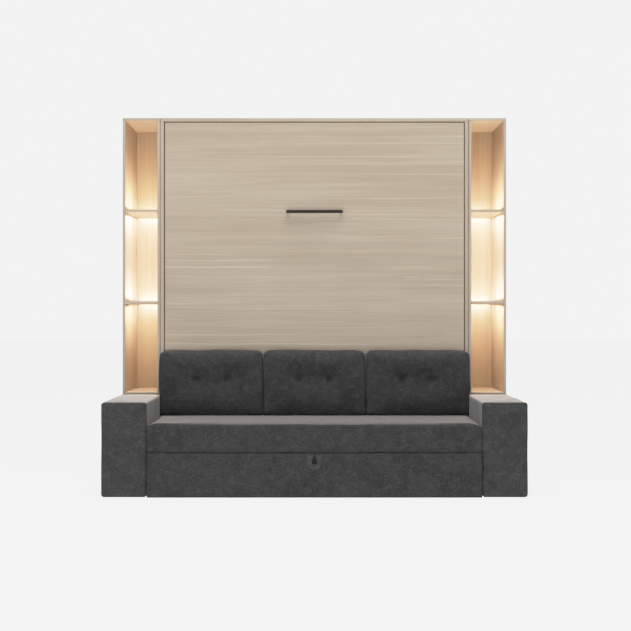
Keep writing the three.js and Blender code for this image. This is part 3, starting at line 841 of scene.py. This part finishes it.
def clamp(piece, low, high):
    """Flattens a piece where it rests against its neighbours."""
    set_points(piece, np.clip(get_points(piece), low, high))


FAR = 9.0  # beyond every piece: no limit
ARM_SWELL = 3.5 * MM  # how far an arm's cloth stands outside its frame
ARM_EDGE = 12 * MM  # how near to two faces the cloth is held by an arm's edge
PRESSED = 0.8 * MM  # how far cloth may reach past a face that rests on a neighbour


def arm(label, side):
    """Upholstered arm: a firm block whose cloth is drawn tight over its edges."""
    node = f"sofa_arm_{label}"
    low, high = box_of(node)
    reach_low, reach_high = low.copy(), high.copy()
    (reach_low if side < 0 else reach_high)[0] += side * ARM_SWELL
    cloth = velour(
        f"velour_arm_{label}", shift=(side * 3.1, 0.4, 1.2), sheen=0.30, painted_top_sheen=0.70, shade=0.92
    )
    piece = soft_block(
        f"arm_{label}", reach_low, reach_high, radius=18 * MM, cell=16 * MM, material=cloth, arcs=5
    )
    points = get_points(piece)
    inner = low[0] if side > 0 else high[0]
    held = (points[:, 2] < 6 * MM) | (np.abs(points[:, 0] - inner) < 1 * MM)
    held |= points[:, 1] > high[1] - 1 * MM
    near = [
        (points[:, i] < reach_low[i] + ARM_EDGE).astype(int)
        + (points[:, i] > reach_high[i] - ARM_EDGE)
        for i in range(3)
    ]
    held |= (near[0] + near[1] + near[2]) >= 2
    inflate(piece, pressure=2.5, cap=7 * MM, held=held)
    subdivide(piece)
    ripple(
        piece,
        height=2.0 * MM,
        scale=5.5,
        seed=10 + side,
        where=lambda p: np.clip(p[:, 2] / 0.1, 0, 1),
    )
    limit_low = np.array((-FAR, -FAR, 0.0))
    limit_high = np.array((FAR, high[1], FAR))
    if side > 0:
        limit_low[0] = inner - PRESSED
    else:
        limit_high[0] = inner + PRESSED
    clamp(piece, limit_low, limit_high)
    finish_pad(piece, "cabinet", node)


HOLLOW_DEPTH = 15 * MM  # finger hollow behind the pull strap
HOLLOW_HALF = (15 * MM, 30 * MM)  # its half width and half height
CALM_EDGE = 40 * MM  # below the top edge, where the cloth's ripples fade out


def base_front():
    """Upholstered front of the storage box."""
    low, high = box_of("storage_box_front")
    cloth = velour("velour_base", shift=(0.3, 2.2, 0.7), sheen=0.2, painted_top_sheen=0.0, shade=0.80)
    start = low - np.array((1.2 * MM, 0, 9 * MM))
    end = high + np.array((1.2 * MM, 0, 0.8 * MM))
    piece = soft_block(
        "base_front", start, end, radius=7 * MM, cell=14 * MM, material=cloth, arcs=4
    )
    points = get_points(piece)
    held = (points[:, 1] > low[1] + 2 * MM) | (points[:, 2] < low[2] + 9 * MM)
    held |= points[:, 2] > high[2] - 9 * MM
    inflate(piece, pressure=1.2, cap=2.5 * MM, held=held)
    subdivide(piece)

    def on_face(p):
        """The front face, less and less towards its top edge."""
        return (p[:, 1] < low[1] + 4 * MM) * np.clip((high[2] - p[:, 2]) / CALM_EDGE - 0.3, 0, 1)

    ripple(piece, height=1.6 * MM, scale=6.0, seed=21, where=on_face)
    points = get_points(piece)
    strap_low, strap_high = box_of("pull_strap")
    up = points[:, 2] - (strap_low[2] + strap_high[2]) / 2
    dent = np.exp(-((points[:, 0] / HOLLOW_HALF[0]) ** 4) - (up / HOLLOW_HALF[1]) ** 4)
    points[:, 1] += (points[:, 1] < low[1] + 6 * MM) * HOLLOW_DEPTH * dent
    points[:, 2] = np.maximum(points[:, 2], 1.2 * MM)
    set_points(piece, points)
    finish_pad(piece, "storage_box", "storage_box_front")


SEAT_CROWN = 5 * MM  # how much higher the seat's middle swells than its edges
SEAT_REAR = 0.14  # metres of the seat, at its rear, that stay level under the back cushions


def seat():
    """The long seat pad: rolled front edge, level where the back cushions stand on it."""
    low, high = box_of("seat_cushion")
    cloth = velour("velour_seat", shift=(1.9, 0.2, 2.9), sheen=0.3, painted_top_sheen=0.28, shade=0.82)
    end = high - np.array((0, 0, SEAT_CROWN))
    piece = soft_block("seat", low, end, radius=18 * MM, cell=16 * MM, material=cloth, arcs=4)
    points = get_points(piece)
    rear = high[1] - SEAT_REAR
    held = (points[:, 2] < low[2] + 5 * MM) | (points[:, 1] > rear)
    held |= (points[:, 0] < low[0] + 2 * MM) | (points[:, 0] > high[0] - 2 * MM)
    inflate(piece, pressure=2.2, cap=6 * MM, held=held)
    subdivide(piece)
    ripple(
        piece,
        height=3.2 * MM,
        scale=8.0,
        seed=31,
        where=lambda p: np.clip((rear - p[:, 1]) / 0.08, 0, 1),
    )
    slack = np.array((PRESSED, FAR, 0.0))
    clamp(piece, low - slack, high + np.array((PRESSED, 0.0, 1 * MM)))
    finish_pad(piece, "cabinet", "seat_cushion")


TUFT_SPACING = 0.180  # between a cushion's two tufts
TUFT_HEIGHT = 0.208  # above the cushion's foot
TUFT_FRONT = 20 * MM  # behind the cushion's front
TUFT_DEPTH = 17 * MM
TUFT_WIDTH = 21 * MM  # from its middle to where it is about a third as deep
CORNER = 34 * MM  # radius of the top corners, seen from the front
LEAN = 20 * MM  # how much thinner a back cushion is at its top
NARROW = 0.009  # share of its width that it is narrower there
SQUASH = 10 * MM  # stuffing pressed flat where a cushion stands on the seat
SWELL = 1.5 * MM  # cloth pressed against the next cushion
OUTER_SWELL = 11 * MM  # an end cushion bulges over the arm


def shape_cushion(points, start, end):
    """Thins and narrows a cushion towards its top, and rounds its top corners."""
    middle, half = (start[0] + end[0]) / 2, (end[0] - start[0]) / 2
    rise = np.clip((points[:, 2] - start[2]) / (end[2] - start[2]), 0, 1)
    forward = (end[1] - points[:, 1]) / (end[1] - start[1])
    points[:, 1] += LEAN * rise * forward
    across = np.abs(points[:, 0] - middle)
    dx = across - (half - CORNER)
    dz = points[:, 2] - (end[2] - CORNER)
    near = (dx > 0) & (dz > 0)
    a, b = np.clip(dx / CORNER, 0, 1), np.clip(dz / CORNER, 0, 1)
    across = np.where(near, half - CORNER + dx * np.sqrt(1 - b * b / 2), across)
    points[:, 0] = middle + np.sign(points[:, 0] - middle) * across * (1 - NARROW * rise)
    points[:, 2] = np.where(near, end[2] - CORNER + dz * np.sqrt(1 - a * a / 2), points[:, 2])


def back_cushion(label, number):
    """A stuffed back cushion with two tufts, pressed against its neighbours and the seat."""
    node = f"back_cushion_{label}"
    low, high = box_of(node)
    left = OUTER_SWELL if label == "left" else SWELL
    right = OUTER_SWELL if label == "right" else SWELL
    start = low + np.array((-left, 20 * MM, -SQUASH))
    end = high + np.array((right, 0, 0))
    centre = (low[0] + high[0]) / 2
    places = [
        (centre + side * TUFT_SPACING / 2, low[1] + TUFT_FRONT, low[2] + TUFT_HEIGHT)
        for _, side in SIDES
    ]
    cloth = velour(
        f"velour_back_{label}",
        shift=(4.0 + number, 1.0, 3.0 * number),
        sheen=0.15,
        painted_top_sheen=0.0,
        shade=0.88,
        tufts=places,
    )
    piece = soft_block(
        node + "_pad", start, end, radius=22 * MM, cell=11 * MM, material=cloth, arcs=4
    )
    points = get_points(piece)
    shape_cushion(points, start, end)
    set_points(piece, points)
    smooth(piece, 6)
    points = get_points(piece)
    half = (end[0] - start[0]) / 2
    held = (points[:, 1] > high[1] - 10 * MM) | (points[:, 2] < low[2] - 4 * MM)
    held |= np.abs(points[:, 0] - (start[0] + end[0]) / 2) > half * (1 - NARROW) - 14 * MM
    facing = points[:, 1] < high[1] - 45 * MM
    for place in places:
        away = np.hypot(points[:, 0] - place[0], points[:, 2] - place[2])
        points[:, 1] += facing * TUFT_DEPTH * np.exp(-((away / TUFT_WIDTH) ** 2))
        held |= facing & (away < 9 * MM)
    set_points(piece, points)
    inflate(piece, pressure=4.5, cap=20 * MM, held=held)
    smooth(piece, 4)
    subdivide(piece)
    ripple(
        piece,
        height=5.0 * MM,
        scale=7.0,
        seed=40 + number,
        where=lambda p: (p[:, 1] < high[1] - 20 * MM) * 1.0,
    )
    limit_low = low + np.array((1.2 * MM, -FAR, 0.5 * MM - SEAT_CROWN))
    limit_high = np.array((high[0] - 1.2 * MM, high[1], FAR))
    if label == "left":
        limit_low[0] = -FAR
    if label == "right":
        limit_high[0] = FAR
    clamp(piece, limit_low, limit_high)
    tuck_below_arm(piece, low[0], high[0])
    finish_pad(piece, node, node)
    if label != "centre":
        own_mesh(piece)
    for place, (tuft, _) in zip(places, SIDES):
        button(f"{node}_button_{tuft}", piece, (place[0], place[2]), cloth, node)


BESIDE_ARM = 0.5 * MM  # what an end cushion may swell beside the arm
SWELL_RISE = 30 * MM  # above the arm, where it reaches its whole swell


def tuck_below_arm(piece, left, right):
    """Keeps an end cushion off the arm beside it, and lets it swell above the arm."""
    arm_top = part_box("sofa_arm_left")[1][2]
    points = get_points(piece)
    rise = np.clip((points[:, 2] - arm_top) / SWELL_RISE, 0, 1)
    swell = BESIDE_ARM + (OUTER_SWELL - BESIDE_ARM) * rise
    points[:, 0] = np.clip(points[:, 0], left - swell, right + swell)
    set_points(piece, points)


BUTTON_RADIUS = 8 * MM
BUTTON_HEIGHT = 3.2 * MM
BUTTON_RINGS = 5
BUTTON_SIDES = 20
BUTTON_CURL = 1.25  # quarter turns from a button's top to its rim
WIDEST = 1.571  # radians from the top at which a button is widest


def button(name, pad, place, cloth, body):
    """A small covered button sunk into a tuft: a dome whose rim curls under."""
    points = get_points(pad)
    away = np.hypot(points[:, 0] - place[0], points[:, 2] - place[1])
    front = points[:, 1] < points[:, 1].min() + 60 * MM
    depth = points[np.argmin(np.where(front, away, FAR))][1]
    rings, sides = BUTTON_RINGS, BUTTON_SIDES
    made, faces = [(place[0], depth - BUTTON_HEIGHT, place[1])], []
    for ring in range(1, rings + 1):
        angle = math.pi / 2 * ring / rings * BUTTON_CURL
        reach = BUTTON_RADIUS * math.sin(min(angle, WIDEST))
        drop = BUTTON_HEIGHT * math.cos(angle)
        for k in range(sides):
            turn = 2 * math.pi * k / sides
            made.append(
                (place[0] + reach * math.cos(turn), depth - drop, place[1] + reach * math.sin(turn))
            )
    for k in range(sides):
        faces.append([0, 1 + k, 1 + (k + 1) % sides])
        for ring in range(rings - 1):
            a, b = 1 + ring * sides, 1 + (ring + 1) * sides
            faces.append([a + k, b + k, b + (k + 1) % sides, a + (k + 1) % sides])
    last = 1 + (rings - 1) * sides
    faces.append([last + k for k in range(sides)][::-1])
    piece = make(name, made, faces, cloth)
    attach(piece, body)


LOOP_WIDTH = 43 * MM  # half width of the pull strap at its top
LOOP_ROUND = 41 * MM  # radius of its lower end
HOLE_ROUND = 13 * MM  # radius of the hole's lower end
HOLE_TIP = 1.5 * MM  # half width of the hole at its top
HOLE_DROP = 3 * MM  # from the strap's top to the hole's
BAND_OFFSET = 3.4 * MM  # from the strap's back to the middle of the folded band, at its top
BAND_HALF = 2.9 * MM  # half the folded band's thickness
HANG = 4.6 * MM  # how much further out the strap's lower end hangs


def pull_strap():
    """A folded band of the sofa's cloth, sewn into the seam, with a pointed hole for fingers."""
    low, high = box_of("pull_strap")
    top, back = high[2], high[1]
    turn_z = low[2] + LOOP_ROUND
    hole_top, hole_z = top - HOLE_DROP, turn_z - 1 * MM
    leg, bend, across = 14, 32, 12
    edges = []
    for k in range(leg):
        t = k / leg
        ease = math.sin(t * math.pi / 2)
        outer = (-LOOP_WIDTH + (LOOP_WIDTH - LOOP_ROUND) * t, top - (top - turn_z) * t)
        inner = (-HOLE_TIP - (HOLE_ROUND - HOLE_TIP) * ease, hole_top - (hole_top - hole_z) * t)
        edges.append((outer, inner))
    for k in range(bend + 1):
        angle = math.pi * k / bend
        outer = (-LOOP_ROUND * math.cos(angle), turn_z - LOOP_ROUND * math.sin(angle))
        inner = (-HOLE_ROUND * math.cos(angle), hole_z - HOLE_ROUND * math.sin(angle))
        edges.append((outer, inner))
    edges += [((-ox, oz), (-ix, iz)) for (ox, oz), (ix, iz) in reversed(edges[:leg])]
    points, faces = [], []
    for (ox, oz), (ix, iz) in edges:
        hang = HANG * max(0.0, (top - (oz + iz) / 2) / (top - low[2]))
        for layer in (1, -1):
            for k in range(across + 1):
                s = k / across
                swell = max(0.0, 1 - (2 * s - 1) ** 4) ** 0.5
                y = back - BAND_OFFSET - hang - layer * BAND_HALF * swell
                points.append((ix + (ox - ix) * s, min(y, back - 0.2 * MM), iz + (oz - iz) * s))
    row = 2 * (across + 1)
    for i in range(len(edges) - 1):
        for k in range(across):
            a, b = i * row + k, i * row + across + 1 + k
            faces.append([a, a + 1, a + row + 1, a + row])
            faces.append([b, b + row, b + row + 1, b + 1])
    cloth = velour("velour_strap", shift=(0.9, 5.2, 0.1), sheen=0.14, painted_top_sheen=0.0, shade=1.05)
    piece = make("strap_loop", points, faces, cloth)
    apply_modifier(piece, "WELD", merge_threshold=0.0002)
    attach(piece, "storage_box")
    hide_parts("pull_strap")


# ------------------------------------------------------------------ the bed inside

QUILT = 0.13  # metres from one quilting line to the next, along the mattress's edges
QUILT_PUFF = 9 * MM  # from the quilting's hollows to its crests
QUILT_LEVEL = 0.75  # share of it that lies inside the mattress's CAD box
MATTRESS_CORNER = 40 * MM
PIPING_EDGE = 9 * MM  # from the mattress's top or base to the piping
PIPING_INSET = 11 * MM  # how much nearer to the middle it runs than the outline
PIPING_FROM = (0.7, 0.85)  # metres from the middle, across and along, from where it does


def mattress():
    """Quilted mattress with piped edges."""
    low, high = box_of("mattress")
    piece = soft_block("mattress_pad", low, high, MATTRESS_CORNER, 18 * MM, TICKING)
    points, normals = get_points(piece), get_normals(piece)
    u = (points[:, 0] + points[:, 2]) * math.pi / QUILT
    v = (points[:, 0] - points[:, 2]) * math.pi / QUILT
    puff = np.sqrt(np.abs(np.sin(u) * np.sin(v)))
    flat = np.abs(normals[:, 1]) ** 4
    set_points(piece, points + normals * ((puff - QUILT_LEVEL) * QUILT_PUFF * flat)[:, None])
    subdivide(piece)
    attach(piece, "bed")
    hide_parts("mattress")
    loop = rounded_loop((low[0], low[2]), (high[0], high[2]), MATTRESS_CORNER)
    middle = ((low[0] + high[0]) / 2, (low[2] + high[2]) / 2)

    def inset(value, axis):
        """Moves one coordinate of the outline towards the middle, if it is near the edge."""
        off = value - middle[axis]
        return value - math.copysign(PIPING_INSET, off) * (abs(off) > PIPING_FROM[axis])

    for name, y in (("top", high[1] - PIPING_EDGE), ("base", low[1] + PIPING_EDGE)):
        path = [(inset(x, 0), y, inset(z, 1)) for x, z in loop]
        piping = tube(f"mattress_piping_{name}", path, 4 * MM, WEBBING)
        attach(piping, "bed")


BELT_THICKNESS = 1.6 * MM
BELT_SIDE_GAP = 2.5 * MM  # between the mattress's CAD box and the belt, at its sides
BELT_TOP_GAP = 5.5 * MM  # and over it: 4 to 10 mm above the quilted ticking
BELT_TURN = 45 * MM  # radius of the belt's turns
BELT_ARCS = 8  # segments in a turn


def mattress_belt():
    """Webbing belt from one side board to the other, drawn straight over the mattress."""
    low, high = box_of("mattress_strap")
    mattress_high = box_of("mattress")[1]
    out = mattress_high[0] + BELT_SIDE_GAP
    face = mattress_high[1] + BELT_TOP_GAP
    turn_x, turn_y = -out + BELT_TURN, face - BELT_TURN
    path = [(-out, low[1])]
    for k in range(BELT_ARCS + 1):
        angle = math.radians(180 - 90 * k / BELT_ARCS)
        path.append((turn_x + BELT_TURN * math.cos(angle), turn_y + BELT_TURN * math.sin(angle)))
    path += [(x, face) for x in np.linspace(turn_x, out - BELT_TURN, 60)[1:-1]]
    path += [(-x, y) for x, y in reversed(path[: BELT_ARCS + 2])]
    points, faces = [], []
    for i, (x, y) in enumerate(path):
        before, after = path[max(0, i - 1)], path[min(len(path) - 1, i + 1)]
        along = Vector((after[0] - before[0], after[1] - before[1])).normalized()
        normal = Vector((-along.y, along.x))
        for offset, z in ((0, low[2]), (0, high[2]), (1, high[2]), (1, low[2])):
            lift = BELT_THICKNESS * offset
            points.append((x + normal.x * lift, y + normal.y * lift, z))
    for i in range(len(path) - 1):
        a, b = 4 * i, 4 * (i + 1)
        for k in range(4):
            m = (k + 1) % 4
            faces.append([a + k, a + m, b + m, b + k])
    end = 4 * (len(path) - 1)
    faces += [[3, 2, 1, 0], [end, end + 1, end + 2, end + 3]]
    belt = make("mattress_belt", points, faces, WEBBING, smooth=False)
    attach(belt, "bed")
    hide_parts("mattress_strap")


# ------------------------------------------------------------------ build

camera()
studio()
paint_frame()
edge_band()
for light_level in ("lower", "upper"):
    for side_label, _ in SIDES:
        shelf_light(light_level, side_label)
for side_label, side_sign in SIDES:
    arm(side_label, side_sign)
base_front()
seat()
for cushion_number, cushion_label in enumerate(("left", "centre", "right")):
    back_cushion(cushion_label, cushion_number)
pull_strap()
mattress()
mattress_belt()
